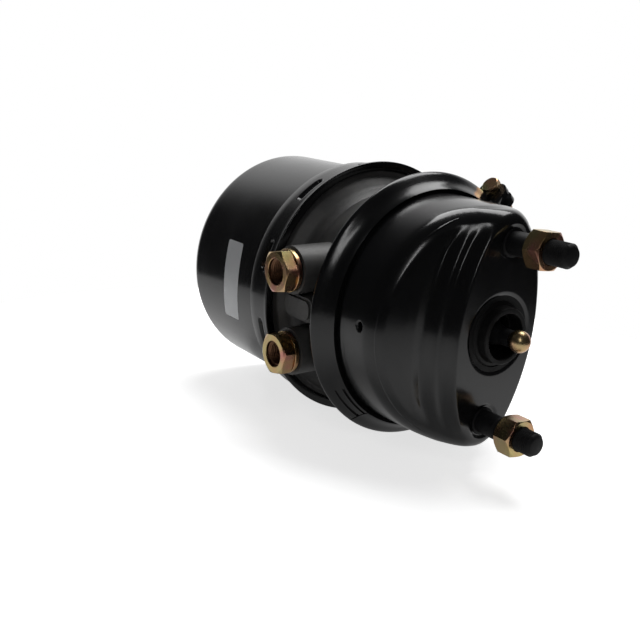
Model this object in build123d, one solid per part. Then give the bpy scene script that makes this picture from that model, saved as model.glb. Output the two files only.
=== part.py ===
from build123d import *
import math
import os

# Spring brake chamber for a disc brake, in millimetres.
# +X is the push direction, out of the mounting face at x = 0, which lies on the push axis.
# +Z points from the lower stud to the upper one, and the air ports look towards -Y.

# Mounting face, studs and nuts
STUD_PITCH = 120.65
STUD_R = 8.0
STUD_THREAD_R = 7.8
STUD_KNURL_R = 8.5
STUD_SHANK = 14.0
STUD_REACH = 46.0
STUD_POINT = 2.0
STUD_HEAD_R = 11.5
STUD_HEAD_H = 4.5
STUD_DIMPLE_R = 12.3
STUD_DIMPLE_DEPTH = 1.2
STUD_SHOULDER = 1.6
NUT_AF = 24.0
NUT_H = 13.0
NUT_BACK = 17.0
LOWER_NUT_BACK = 20.4
PRESS_GAP = 0.05

# Front housing: a drawn cup with a lens-shaped face and stepped flanks
CUP_R = 82.7
CUP_DRAFT = 0.8
CUP_WALL = 3.0
CUP_DEPTH = 76.1
CUP_NOSE = 3.2
CUP_EDGE_ROUND = 9.0
CUP_BEND = 3.0
FACE_HALF = 34.0
FACE_ARC_R = 139.0
STEP_COUNT = 4
STEP_RUN = 3.2
STEP_DROP = 5.3
LAND_RUN = 6.3
LAND_DROP = 2.4
LAST_LAND = 12.0
STEP_ROUND = 2.2
CENTRE_HOLE_R = 20.0
SEAT_R = 28.5
SEAT_FLOOR_R = 21.5
SEAT_DEPTH = 2.4
DRAIN_R = 2.5
DRAIN_X = -43.0
DRAIN_ANGLE = 182.0
BRACE_H = 6.0
BRACE_HALF = 16.2
BRACE_HOLE_R = 24.5
BRACE_EYE_R = 31.5

# Clamp: flanges, band, ears, bolt
FLANGE_H = 8.9
LIP_GAP = 0.9
BAND_WALL = 3.0
BAND_CLEAR = 0.35
CROWN_ROOM = 1.7
BAND_TOP = 4.0
BAND_FOOT = 3.3
FLANK_ANGLE = 45.0
CROWN_ROUND = 3.6
CLAMP_ANGLE = 53.7
LAP_ANGLE = 238.0
LAP_SLIT = 0.6
TONGUE_ARC = 20.0
TONGUE_GROOVE_W = 2.0
TONGUE_GROOVE_DEPTH = 1.3
EAR_T = 4.5
EAR_TOP = 5.5
EAR_ROUND = 7.0
EAR_BACK = 3.0
EAR_GAP = 4.5
CLAMP_BOLT_R = 4.0
CLAMP_BOLT_ROOM = 1.0
CLAMP_AF = 12.0
CLAMP_HEAD_H = 5.5
CLAMP_NUT_H = 6.5

# Adapter casting between the two chambers
NECK_LEN = 54.0
WAIST_R = 76.0
WAIST_WALL = 6.0
WEB_DEPTH = 13.0
WEB_T = 8.0
HUB_R = 26.0
HUB_LEN = 20.0

# Spring pot
COLLAR_LEN = 27.3
COLLAR_STEP = 4.8
COLLAR_WALL = 2.6
LIP_R = 97.3
POT_R = 89.0
POT_WALL = 3.0
POT_LEN = 129.0
POT_ROUND = 10.0
DISH_R = 34.0
DISH_DEPTH = 5.0
SPIGOT_LEN = 10.65
SLIDE_FIT = 0.07
TAB_COUNT = 10
TAB_FIRST = 94.0
TAB_L = 23.0
TAB_W = 5.0
TAB_DRAFT = 35.0
TAB_DEPTH = 2.2
TAB_BACK = 14.6

# Air ports
PORT_TILT = 5.5
PORT_BACK = 30.0
PORT_SPAN = 58.0
PORT_FACE = 105.5
PORT_AF = 27.0
PORT_HEX_H = 9.0
PORT_COLLAR_R = 14.8
PORT_COLLAR_H = 3.2
PORT_SEAL_H = 0.9
PORT_BORE_R = 7.25
PORT_BORE_LEN = 20.0
PORT_MOUTH_R = 9.1
PORT_MOUTH_DEPTH = 2.0
PORT_TURN = 12.0
PORT_SHANK_R = 11.0
PORT_SHANK_LEN = 17.0
BOSS_R = 16.7
AIR_WAY_R = 5.0
DRILLING_R = 2.4
PAD_L = 33.0
PAD_W = 17.0

# Moving parts
STROKE = 57.0
TUBE_R = 15.0
TUBE_BORE_R = 11.2
PISTON_BACK = 11.0
PISTON_RIM_L = 16.0
PISTON_DEPTH = 63.0
PISTON_WALL = 3.0
CUP_PISTON_R = 67.5
RUN_FIT = 0.05
PLATE_R = 52.0
PLATE_T = 4.0
ROD_R = 8.0
BALL_R = 7.4
BALL_X = 17.5
BALL_PIN_R = 2.95
BALL_PIN_LEN = 16.0
ROD_NECK_R = 5.6
BOLT_R = 8.0
BOLT_AF = 24.0
BOLT_HEAD_H = 10.0
BUSH_R = 14.0
BUSH_LEN = 17.0
POWER_WIRE_R = 6.4
RETURN_WIRE_R = 2.1
SKIN_T = 3.0

# Face seal and boot
SEAL_NECK_R = 19.0
SEAL_BORE_R = 15.5
SEAL_PROUD = 6.5
BOOT_T = 1.2
BOOT_FOLDS = 6

# Places worked out from the sizes above
FLANGE_R = CUP_R + FLANGE_H
BAND_R = FLANGE_R + CROWN_ROOM + BAND_WALL
FOOT_R = CUP_R + BAND_FOOT
JOINT_X = -CUP_DEPTH - LIP_GAP
BEAD_BACK = JOINT_X - LIP_GAP
EAR_BOLT_R = BAND_R + CLAMP_AF / 2 + CLAMP_BOLT_ROOM
WEB_FRONT = JOINT_X - WEB_DEPTH
WEB_BACK = WEB_FRONT - WEB_T
PORT_X = JOINT_X - PORT_BACK
MOUTH_X = JOINT_X - NECK_LEN
COLLAR_R = POT_R + COLLAR_STEP
MOUTH_R = COLLAR_R - COLLAR_WALL
SEAT_X = MOUTH_X - COLLAR_LEN + POT_WALL
SPIGOT_BACK = SEAT_X - SPIGOT_LEN
REAR_X = MOUTH_X - POT_LEN
DISH_X = REAR_X + DISH_DEPTH
POT_BORE_R = POT_R - POT_WALL
RIM_BACK = REAR_X + POT_WALL + PISTON_BACK
PISTON_WEB_X = RIM_BACK + PISTON_DEPTH
PLATE_BACK = WEB_FRONT + SKIN_T + 1.0
PLATE_FRONT = PLATE_BACK + PLATE_T
HUB_BORE_R = TUBE_R + 2.5
BRACE_BACK = -CUP_WALL - BRACE_H
BOLT_SEAT = DISH_X - 6.0
BOLT_END = PISTON_WEB_X + STROKE + 10.0
PORT_OUT = Vector(0, -math.cos(math.radians(PORT_TILT)), -math.sin(math.radians(PORT_TILT)))
PORT_SIDE = Vector(0, -math.sin(math.radians(PORT_TILT)), math.cos(math.radians(PORT_TILT)))


def section(points, rounds=()):
    """Closed outline in the X and radius plane. Each round is (x, radius, size)."""
    face = make_face(Polyline(*points, close=True))
    for x, r, size in rounds:
        corner = face.vertices().sort_by_distance((x, r, 0))[0]
        face = fillet(corner, size)
    return face


def lathe(points, rounds=(), start=0, turn=360):
    """Solid turned about the push axis."""
    return Rot(start, 0, 0) * revolve(section(points, rounds), axis=Axis.X, revolution_arc=turn)


def ring(x0, x1, inner, outer):
    """Plain ring about the push axis."""
    return lathe([(x0, inner), (x1, inner), (x1, outer), (x0, outer)])


def disc(x0, x1, radius):
    """Plain disc about the push axis."""
    return lathe([(x0, 0), (x1, 0), (x1, radius), (x0, radius)])


def along(origin, direction, across):
    """Plane at a point, with local Z along a direction."""
    return Plane(origin=origin, x_dir=across, z_dir=direction)


def drilled(origin, direction, radius, length, across=(1, 0, 0)):
    """Round bar from a point along a direction, for bores and shanks."""
    return along(origin, direction, across) * extrude(Circle(radius), length)


def hexagon(flats, height, bore=0.0, chamfer=1.4):
    """Hexagon along Z with both ends turned to the usual chamfer."""
    body = extrude(RegularPolygon(flats / 2, 6, major_radius=False), height)
    wide = flats / 2 / math.cos(math.pi / 6) + 0.1
    flat = flats / 2 - 0.2
    drop = chamfer
    turned = revolve(
        Plane.XZ * make_face(Polyline((0, 0), (flat, 0), (wide, drop), (wide, height - drop),
                                      (flat, height), (0, height), close=True)),
        axis=Axis.Z)
    body = body & turned
    if bore:
        body = body - extrude(Circle(bore), height)
    return body


def stud_places():
    """Both stud axes, the upper one first."""
    return [Vector(0, 0, side * STUD_PITCH / 2) for side in (1, -1)]


def step_profile(back):
    """Stepped flank from the edge of the mounting face outward, as (x, distance) points."""
    points = [(0, FACE_HALF)]
    x, out = 0.0, FACE_HALF
    for i in range(STEP_COUNT):
        x, out = x - STEP_DROP, out + STEP_RUN
        points.append((x, out))
        last = i == STEP_COUNT - 1
        run = LAST_LAND if last else LAND_RUN
        x, out = x - LAND_DROP * run / LAND_RUN * (1.7 if last else 1), out + run
        points.append((x, out))
    rounds = [(px, pout, STEP_ROUND) for px, pout in points]
    points.append((x - 10, out + 16))
    points.append((back, out + 16))
    return points, rounds


def flank_body(side, inset_x, inset_out, back=-130.0):
    """Everything under one stepped flank. Its steps run in arcs about an axis beyond the other flank."""
    centre = FACE_ARC_R - FACE_HALF
    points, rounds = step_profile(back)
    shifted = [(x - inset_x, out + centre - inset_out) for x, out in points]
    rounded = [(x - inset_x, out + centre - inset_out, size) for x, out, size in rounds]
    outline = [(back, 0), (-inset_x, 0)] + shifted
    body = lathe(outline, rounded)
    return Pos(0, -side * centre, 0) * body


def flank(r, inset):
    """Half width of the clamp's V at a radius, measured to a face set in from the band's outside."""
    angle = math.radians(FLANK_ANGLE)
    return BAND_TOP / 2 + (BAND_R - r) / math.tan(angle) - inset / math.sin(angle)


def flank_r(half, inset):
    """Radius at which that face is a given half width from the joint."""
    angle = math.radians(FLANK_ANGLE)
    return BAND_R - (half - BAND_TOP / 2 + inset / math.sin(angle)) * math.tan(angle)


def cup_outside():
    """Outer form of the drawn cup, filled."""
    nose = CUP_R - CUP_NOSE
    inset = BAND_WALL + BAND_CLEAR
    bend = JOINT_X + flank(CUP_R + 0.5, inset)
    return lathe(
        [(0, 0), (0, nose), (-18, CUP_R - CUP_DRAFT), (-CUP_DEPTH + 16, CUP_R), (bend, CUP_R + 0.5),
         (JOINT_X + flank(FLANGE_R, inset), FLANGE_R), (-CUP_DEPTH, FLANGE_R), (-CUP_DEPTH, 0)],
        [(0, nose, CUP_EDGE_ROUND), (bend, CUP_R + 0.5, CUP_BEND)])


def cup_inside():
    """Inner form of the drawn cup, filled, one wall smaller."""
    wall = CUP_WALL
    nose = CUP_R - CUP_NOSE - wall
    inset = BAND_WALL + BAND_CLEAR + wall
    bend = JOINT_X + flank(CUP_R - wall, inset)
    tip = flank_r(LIP_GAP, inset)
    return lathe(
        [(-wall, 0), (-wall, nose), (-18, CUP_R - CUP_DRAFT - wall), (-CUP_DEPTH + 16, CUP_R - wall),
         (bend, CUP_R - wall), (-CUP_DEPTH, tip), (-CUP_DEPTH - 5, tip), (-CUP_DEPTH - 5, 0)],
        [(-wall, nose, CUP_EDGE_ROUND - wall), (bend, CUP_R - wall, CUP_BEND + wall)])


def seal_seat(drop, spread):
    """Dished seat of the face seal, let into the mounting face. A drop and spread give its underside."""
    return lathe([(5, 0), (5, SEAT_R + spread), (-drop, SEAT_R + spread), (-drop - SEAT_DEPTH, SEAT_FLOOR_R + spread),
                  (-drop - SEAT_DEPTH, 0)])


def front_housing():
    """Drawn steel cup, one wall thick, with the seal's seat, stud dimples, centre hole and drain."""
    outer = cup_outside() - seal_seat(0, 0)
    inner = cup_inside() - seal_seat(CUP_WALL, 1.0)
    for side in (1, -1):
        outer = outer & flank_body(side, 0, 0)
        inner = inner & flank_body(side, CUP_WALL - 0.4, CUP_WALL * 0.6)
    shell = outer - inner
    shell = shell - disc(-20, 5, CENTRE_HOLE_R)
    for place in stud_places():
        shell = shell - drilled(place + Vector(5, 0, 0), (-1, 0, 0), STUD_KNURL_R + PRESS_GAP, 20, (0, 1, 0))
        rim = STUD_DIMPLE_R - STUD_DIMPLE_DEPTH
        dimple = lathe([(-STUD_DIMPLE_DEPTH, 0), (-STUD_DIMPLE_DEPTH, rim), (0.1, STUD_DIMPLE_R + 0.1), (0.1, 0)])
        shell = shell - Pos(place) * dimple
    angle = math.radians(DRAIN_ANGLE)
    out = Vector(0, math.cos(angle), math.sin(angle))
    return shell - drilled(Vector(DRAIN_X, 0, 0) + out * (CUP_R - 12), out, DRAIN_R, 20)


def stud_brace():
    """Pressed bar inside the cup that carries both studs and spreads their load."""
    length = STUD_PITCH + 2 * STUD_HEAD_R - 4
    bar = RectangleRounded(length, 2 * BRACE_HALF, 10) + Circle(BRACE_EYE_R) - Circle(BRACE_HOLE_R)
    for side in (1, -1):
        bar = bar - Pos(side * STUD_PITCH / 2, 0) * Circle(STUD_KNURL_R + PRESS_GAP)
    brace = along((BRACE_BACK, 0, 0), (1, 0, 0), (0, 0, 1)) * extrude(bar, BRACE_H)
    return brace - seal_seat(CUP_WALL + 0.2, 1.3)


def mounting_studs():
    """Two studs with flat heads, a knurled press fit, a shoulder in the dimple, a plain shank and a thread."""
    shoulder = STUD_R + STUD_SHOULDER
    low = -STUD_DIMPLE_DEPTH
    studs = []
    for place in stud_places():
        points = [(BRACE_BACK - STUD_HEAD_H, 0), (BRACE_BACK - STUD_HEAD_H, STUD_HEAD_R),
                  (BRACE_BACK, STUD_HEAD_R), (BRACE_BACK, STUD_KNURL_R), (low, STUD_KNURL_R), (low, shoulder),
                  (-0.3, shoulder), (-0.3, STUD_R), (STUD_SHANK, STUD_R), (STUD_SHANK, STUD_THREAD_R),
                  (STUD_REACH - STUD_POINT, STUD_THREAD_R), (STUD_REACH, STUD_THREAD_R - STUD_POINT), (STUD_REACH, 0)]
        studs.append(Pos(place) * lathe(points))
    return studs


def stud_nuts():
    """Hexagon nuts run part way down the studs, the lower one less far."""
    nuts = []
    for place, back in zip(stud_places(), (NUT_BACK, LOWER_NUT_BACK)):
        seat = along(place + Vector(back, 0, 0), (1, 0, 0), (0, 1, 0))
        nuts.append(seat * hexagon(NUT_AF, NUT_H, STUD_THREAD_R + PRESS_GAP))
    return nuts


def face_seal():
    """Rubber ring in the centre hole: a flange in the dished seat, a proud neck and a lip behind the sheet."""
    floor = -SEAT_DEPTH
    hole = CENTRE_HOLE_R - 0.1
    slope = (SEAT_R - SEAT_FLOOR_R) / SEAT_DEPTH
    top = floor + 1.7
    edge = SEAT_FLOOR_R + (top - 0.1 - floor) * slope - 0.2
    lip = floor - CUP_WALL
    return lathe(
        [(lip - 2.2, SEAL_BORE_R), (SEAL_PROUD, SEAL_BORE_R), (SEAL_PROUD, SEAL_NECK_R), (top + 0.6, SEAL_NECK_R + 0.6),
         (top, SEAL_NECK_R + 2.2), (top - 0.5, SEAL_NECK_R + 2.9), (top, SEAL_NECK_R + 3.6), (top, edge),
         (floor + 0.05, SEAT_FLOOR_R - 0.2), (floor + 0.05, hole), (lip, hole), (lip, hole + 3), (lip - 2.2, hole + 3)],
        [(SEAL_PROUD, SEAL_NECK_R, 1.0), (SEAL_PROUD, SEAL_BORE_R, 0.8)])


def sheet(path, wall):
    """Outline of a thin wall: a path and its copy, mitred, on the left of it at the wall's distance."""
    copy = []
    for i, (x, r) in enumerate(path):
        before = path[max(i - 1, 0)]
        after = path[min(i + 1, len(path) - 1)]
        ways = [(b[0] - a[0], b[1] - a[1]) for a, b in ((before, (x, r)), ((x, r), after)) if a != b]
        sides = [(-dy / math.hypot(dx, dy), dx / math.hypot(dx, dy)) for dx, dy in ways]
        nx = sum(s[0] for s in sides) / len(sides)
        ny = sum(s[1] for s in sides) / len(sides)
        scale = wall / (nx * nx + ny * ny)
        copy.append((x + nx * scale, r + ny * scale))
    return list(path) + copy[::-1]


def boot_path():
    """Folds of the boot between the cuff on the rod and the cuff in the seal."""
    back = PLATE_FRONT + 7.0
    front = -SEAT_DEPTH - CUP_WALL - 4.0
    step = (front - back) / (2 * BOOT_FOLDS)
    path = [(PLATE_FRONT + 1.0, ROD_R + 0.1), (back, ROD_R + 0.1)]
    for i in range(1, 2 * BOOT_FOLDS):
        out = 17.5 if i % 2 else 11.5
        path.append((back + i * step, out))
    path += [(front, SEAL_BORE_R - BOOT_T - 0.1), (front + 5.0, SEAL_BORE_R - BOOT_T - 0.1)]
    return path


def pushrod_boot():
    """Folded rubber boot from the rod to the face seal."""
    return lathe(sheet(boot_path(), BOOT_T))


def boot_clip():
    """Spring ring that holds the boot's cuff on the rod."""
    inner = ROD_R + 0.1 + BOOT_T + 0.05
    return ring(PLATE_FRONT + 2.0, PLATE_FRONT + 5.5, inner, inner + 1.4)


def band_outline():
    """Half section of the clamp band: a narrow rounded crown and two flanks that draw the flanges together."""
    top = BAND_TOP / 2
    foot = flank(FOOT_R, 0)
    path = [(JOINT_X + foot, FOOT_R), (JOINT_X + top, BAND_R), (JOINT_X - top, BAND_R), (JOINT_X - foot, FOOT_R)]
    return sheet(path, BAND_WALL), [(JOINT_X + top, BAND_R, CROWN_ROUND), (JOINT_X - top, BAND_R, CROWN_ROUND)]


def clamp_frame():
    """Plane of the clamp bolt: local X along the push axis, local Y outward, local Z round the band."""
    angle = math.radians(CLAMP_ANGLE)
    return along((JOINT_X, 0, 0), (0, -math.sin(angle), math.cos(angle)), (1, 0, 0))


def ear(near):
    """One ear of the clamp, a plate as wide as the band that stands on its end, with the bolt's hole."""
    core = BAND_WALL / 2
    low = FOOT_R + 1.5
    wide = flank(FOOT_R, 0)
    high = EAR_BOLT_R + EAR_TOP
    crown = BAND_R - core
    right = [(wide, low + 1.5), (wide, high), (-wide, high), (-wide, low + 1.5)]
    under = [(-flank(low, core), low), (-flank(crown, core), crown), (flank(crown, core), crown), (flank(low, core), low)]
    plate = make_face(Polyline(*(right + under), close=True))
    tops = plate.vertices().sort_by(Axis.Y)[-2:]
    plate = fillet(tops, EAR_ROUND) - Pos(0, EAR_BOLT_R) * Circle(CLAMP_BOLT_R + 0.4)
    return clamp_frame() * (Pos(0, 0, near) * extrude(plate, EAR_T))


def tongue_groove(side, r):
    """Shallow groove round the end of the tongue, on one flank at a radius."""
    angle = math.radians(FLANK_ANGLE)
    x = JOINT_X + side * flank(r, 0)
    wx, wr = side * math.cos(angle) * TONGUE_GROOVE_W / 2, -math.sin(angle) * TONGUE_GROOVE_W / 2
    nx, nr = side * math.sin(angle), math.cos(angle)
    deep = TONGUE_GROOVE_DEPTH
    points = [(x + wx + nx, r + wr + nr), (x - wx + nx, r - wr + nr),
              (x - wx - nx * deep, r - wr - nr * deep), (x + wx - nx * deep, r + wr - nr * deep)]
    return lathe(points, (), LAP_ANGLE - TONGUE_ARC, TONGUE_ARC + 1)


def clamp_half_b():
    """Band half on the port side, with the ear at the bolt's head and the grooved tongue of the lap."""
    points, rounds = band_outline()
    start = CLAMP_ANGLE + math.degrees(math.asin(EAR_BACK / BAND_R))
    half = lathe(points, rounds, start, LAP_ANGLE - LAP_SLIT - start)
    reach = BAND_R - FOOT_R
    for side in (1, -1):
        for share in (0.2, 0.6):
            half = half - tongue_groove(side, FOOT_R + reach * share)
    return half + ear(EAR_BACK)


def clamp_half_a():
    """Band half away from the ports, with the ear at the nut and the end that meets the tongue."""
    points, rounds = band_outline()
    end = 360 + CLAMP_ANGLE + math.degrees(math.asin((EAR_BACK - EAR_GAP) / BAND_R))
    half = lathe(points, rounds, LAP_ANGLE, end - LAP_ANGLE)
    return half + ear(EAR_BACK - EAR_GAP - EAR_T)


def clamp_bolt():
    """Hexagon bolt through both ears."""
    length = 2 * EAR_T + EAR_GAP + CLAMP_NUT_H + 4
    head = Pos(0, EAR_BOLT_R, EAR_BACK + EAR_T) * hexagon(CLAMP_AF, CLAMP_HEAD_H, 0, 0.9)
    shank = Pos(0, EAR_BOLT_R, EAR_BACK + EAR_T - length) * extrude(Circle(CLAMP_BOLT_R), length)
    return clamp_frame() * (head + shank)


def clamp_nut():
    """Nut of the clamp bolt."""
    seat = EAR_BACK - EAR_GAP - EAR_T - CLAMP_NUT_H
    return clamp_frame() * (Pos(0, EAR_BOLT_R, seat) * hexagon(CLAMP_AF, CLAMP_NUT_H, CLAMP_BOLT_R + PRESS_GAP, 0.9))


def service_diaphragm():
    """Rubber diaphragm turned back over the casting, with a wedge bead and a flap held by the clamp."""
    back = WEB_FRONT + 0.4
    foot = WAIST_R + WAIST_WALL - 1.9
    skin = lathe(sheet([(back, 0), (back, WAIST_R - 13), (BEAD_BACK - 6.5, WAIST_R - 2.8), (BEAD_BACK + 0.3, foot)], -SKIN_T))
    inset = BAND_WALL + BAND_CLEAR + CUP_WALL + 0.1
    low = CUP_R - CUP_WALL
    bead = lathe([(BEAD_BACK + 0.1, low - 0.2), (BEAD_BACK + 0.1, FLANGE_R - 0.8), (-CUP_DEPTH - 0.1, FLANGE_R - 0.8),
                  (-CUP_DEPTH - 0.1, flank_r(LIP_GAP - 0.1, inset)), (JOINT_X + flank(low + 1.7, inset), low + 1.7),
                  (JOINT_X + flank(low + 1.7, inset) - 1.4, low + 0.3)])
    return skin + bead


def adapter_outline():
    """Outer half section of the casting from the spigot to the clamp flange."""
    spigot = POT_BORE_R - SLIDE_FIT
    rim = MOUTH_R - SLIDE_FIT
    back = SPIGOT_BACK
    rim_front = MOUTH_X - 2.5
    tab = MOUTH_X - TAB_BACK
    inset = BAND_WALL + BAND_CLEAR
    heel = JOINT_X - flank(CUP_R + 0.5, inset)
    points = [
        (back, 0), (back, spigot - 1), (back + 1, spigot), (back + 3, spigot), (back + 3, spigot - 3.7),
        (back + 8.2, spigot - 3.7), (back + 8.2, spigot), (SEAT_X, spigot), (SEAT_X, rim),
        (tab - 4.6, rim), (tab - 4.6, rim - 2.8), (tab + 4.6, rim - 2.8), (tab + 4.6, rim),
        (rim_front, rim), (rim_front, rim - 4.5), (rim_front + 7, WAIST_R + 3.2), (rim_front + 14, WAIST_R),
        (PORT_X + 4, WAIST_R), (heel - 4.6, CUP_R + 0.1), (heel, CUP_R + 0.5),
        (JOINT_X - flank(FLANGE_R, inset), FLANGE_R), (BEAD_BACK, FLANGE_R), (BEAD_BACK, 0)]
    rounds = [(rim_front, rim, 1.5), (rim_front, rim - 4.5, 2.0), (rim_front + 7, WAIST_R + 3.2, 8.0),
              (PORT_X + 4, WAIST_R, 14.0), (heel - 4.6, CUP_R + 0.1, 5.0)]
    return points, rounds


def port_places():
    """Both port axes on the push axis line, the service port first."""
    return [Vector(PORT_X, 0, 0) + PORT_SIDE * (side * PORT_SPAN / 2) for side in (1, -1)]


def boss_top():
    """Distance of the machined boss faces from the push axis."""
    return PORT_FACE - PORT_HEX_H - PORT_COLLAR_H - PORT_SEAL_H


def adapter_body():
    """Casting with the rim in the pot, the waist, the clamp flange, the web and both port bosses."""
    points, rounds = adapter_outline()
    body = lathe(points, rounds)
    for place in port_places():
        body = body + drilled(place + PORT_OUT * 50, PORT_OUT, BOSS_R, boss_top() - 50)
    pad_front = JOINT_X - flank(FOOT_R, 0) - 0.5
    bridge = along(Vector(pad_front - PAD_L / 2, 0, 0) + PORT_SIDE * 2.5 + PORT_OUT * 55, PORT_OUT, (1, 0, 0))
    body = body + bridge * extrude(RectangleRounded(PAD_L, PAD_W, 6), boss_top() - 6 - 55)
    body = body + bridge * extrude(RectangleRounded(PAD_L - 4, PAD_W - 4, 5), boss_top() - 4.5 - 55)
    hollow = WAIST_R - WAIST_WALL
    hub_back = WEB_BACK - HUB_LEN
    rear = lathe(
        [(SPIGOT_BACK - 5, 0), (SPIGOT_BACK - 5, POT_BORE_R - 7.5), (MOUTH_X - 9, POT_BORE_R - 7.5),
         (MOUTH_X - 4, hollow), (WEB_BACK - 8, hollow), (WEB_BACK, hollow - 9), (WEB_BACK, HUB_R), (hub_back, HUB_R),
         (hub_back, 0)],
        [(WEB_BACK, HUB_R, 4.0)])
    mouth = CUP_R - CUP_WALL + 0.7
    front = lathe(
        [(WEB_FRONT, 0), (WEB_FRONT, WAIST_R - 10), (BEAD_BACK - 7, WAIST_R + 0.2), (BEAD_BACK, mouth),
         (BEAD_BACK + 5, mouth), (BEAD_BACK + 5, 0)],
        [(WEB_FRONT, WAIST_R - 10, 5.0)])
    body = body - rear - front - disc(hub_back - 5, WEB_FRONT + 5, HUB_BORE_R)
    service, spring = port_places()
    for place in (service, spring):
        body = body - drilled(place + PORT_OUT * (boss_top() - PORT_SHANK_LEN), PORT_OUT, PORT_SHANK_R + PRESS_GAP, 30)
    body = body - drilled(spring + PORT_OUT * 50, PORT_OUT, AIR_WAY_R, 40)
    way = service + PORT_OUT * (hollow + 1.5)
    body = body - drilled(way, PORT_OUT, DRILLING_R + 0.8, 20)
    return body - drilled(way + PORT_OUT * 1.2, (1, 0, 0), DRILLING_R, 40, (0, 1, 0))


def port_fitting(place):
    """Screwed-in hexagon fitting with a collar and a tapped bore."""
    base = along(place + PORT_OUT * (boss_top() - PORT_SHANK_LEN + 1), PORT_OUT, (1, 0, 0))
    shank = PORT_SHANK_LEN - 1 + PORT_SEAL_H
    body = extrude(Circle(PORT_SHANK_R), shank)
    body = body + Pos(0, 0, shank) * extrude(Circle(PORT_COLLAR_R), PORT_COLLAR_H)
    head = Pos(0, 0, shank + PORT_COLLAR_H - 1.2) * hexagon(PORT_AF, PORT_HEX_H + 1.2, 0, 1.2)
    body = body + Rot(0, 0, PORT_TURN) * head
    top = shank + PORT_COLLAR_H + PORT_HEX_H
    body = body - Pos(0, 0, top - PORT_BORE_LEN) * extrude(Circle(PORT_BORE_R), PORT_BORE_LEN)
    mouth = Pos(0, 0, top - PORT_MOUTH_DEPTH) * extrude(Circle(PORT_MOUTH_R), PORT_MOUTH_DEPTH)
    body = body - mouth - extrude(Circle(AIR_WAY_R), top)
    return base * body


def port_seals():
    """Bonded washers under the collars of the fittings."""
    seals = []
    for place in port_places():
        seat = along(place + PORT_OUT * boss_top(), PORT_OUT, (1, 0, 0))
        seals.append(seat * extrude(Circle(PORT_COLLAR_R - 0.6) - Circle(PORT_SHANK_R + PRESS_GAP), PORT_SEAL_H))
    return seals


def tab_punch(angle, grow):
    """Punch of one locking tab: a long round-ended form with drafted sides, pressed in from outside."""
    turn = math.radians(angle)
    out = Vector(0, math.cos(turn), math.sin(turn))
    floor = COLLAR_R - TAB_DEPTH + 0.4 - grow
    place = along(out * floor + Vector(MOUTH_X - TAB_BACK, 0, 0), out, (0, -out.Z, out.Y))
    return place * extrude(SlotOverall(TAB_L - 4 + grow, TAB_W + grow), 8, taper=-TAB_DRAFT)


def spring_pot():
    """Drawn pot with a stepped collar, a rolled mouth and pressed-in locking tabs."""
    shoulder = MOUTH_X - COLLAR_LEN
    wall = POT_WALL
    pot = lathe(
        [(DISH_X, BUSH_R), (DISH_X, DISH_R), (REAR_X, DISH_R + 8), (REAR_X, POT_R), (shoulder - 1.2, POT_R),
         (shoulder, COLLAR_R), (MOUTH_X - 14, COLLAR_R + 0.8), (MOUTH_X - 3.5, LIP_R), (MOUTH_X, LIP_R),
         (MOUTH_X, MOUTH_R), (SEAT_X, MOUTH_R), (SEAT_X, POT_BORE_R), (REAR_X + wall, POT_BORE_R),
         (REAR_X + wall, DISH_R + 9.5), (DISH_X + wall, DISH_R + 1.5), (DISH_X + wall, BUSH_R)],
        [(REAR_X, POT_R, POT_ROUND), (REAR_X + wall, POT_BORE_R, POT_ROUND - wall), (DISH_X, DISH_R, 3.0),
         (REAR_X, DISH_R + 8, 3.0), (shoulder, COLLAR_R, 0.8), (MOUTH_X - 3.5, LIP_R, 3.0), (MOUTH_X, LIP_R, 1.2),
         (MOUTH_X, MOUTH_R, 1.0)])
    inside = disc(SEAT_X, MOUTH_X, MOUTH_R)
    for i in range(TAB_COUNT):
        angle = TAB_FIRST + i * 360 / TAB_COUNT
        pot = pot + (tab_punch(angle, 1.6) & inside)
        pot = pot - tab_punch(angle, 0)
    return pot


def adapter_o_ring():
    """Ring between the casting's spigot and the pot."""
    back = SPIGOT_BACK
    inner = POT_BORE_R - SLIDE_FIT - 3.7
    return lathe([(back + 3.6, inner + 0.05), (back + 7.6, inner + 0.05), (back + 7.6, POT_BORE_R - 0.02),
                  (back + 3.6, POT_BORE_R - 0.02)],
                 [(back + 3.6, POT_BORE_R - 0.02, 1.5), (back + 7.6, POT_BORE_R - 0.02, 1.5)])


def push_tube_bush():
    """Plain bearing for the push tube in the hub."""
    return ring(WEB_BACK - HUB_LEN + 5, WEB_FRONT - 7, TUBE_R + RUN_FIT, HUB_BORE_R - 0.02)


def push_tube_seals():
    """Wiper behind the bush and air seal in front of it."""
    inner = TUBE_R + RUN_FIT
    outer = HUB_BORE_R - 0.02
    return [ring(WEB_BACK - HUB_LEN + 0.5, WEB_BACK - HUB_LEN + 4.5, inner, outer),
            ring(WEB_FRONT - 6.5, WEB_FRONT - 1.5, inner, outer)]


def release_bush():
    """Threaded bush welded into the dish at the pot's rear."""
    front = BOLT_SEAT + BUSH_LEN
    return lathe([(BOLT_SEAT, BOLT_R + RUN_FIT), (BOLT_SEAT, BUSH_R + 2.5), (DISH_X, BUSH_R + 2.5), (DISH_X, BUSH_R - 0.05),
                  (front, BUSH_R - 0.05), (front, BOLT_R + RUN_FIT)],
                 [(BOLT_SEAT, BUSH_R + 2.5, 1.5)])


def rear_spring_seat():
    """Flat ring that guides the power spring on the pot's rear wall."""
    back = REAR_X + POT_WALL
    return lathe([(back, DISH_R + 11), (back, POT_BORE_R - 14), (back + 1.5, POT_BORE_R - 14),
                  (back + 1.5, DISH_R + 13), (back + 5, DISH_R + 12.4), (back + 5, DISH_R + 11)])


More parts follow.
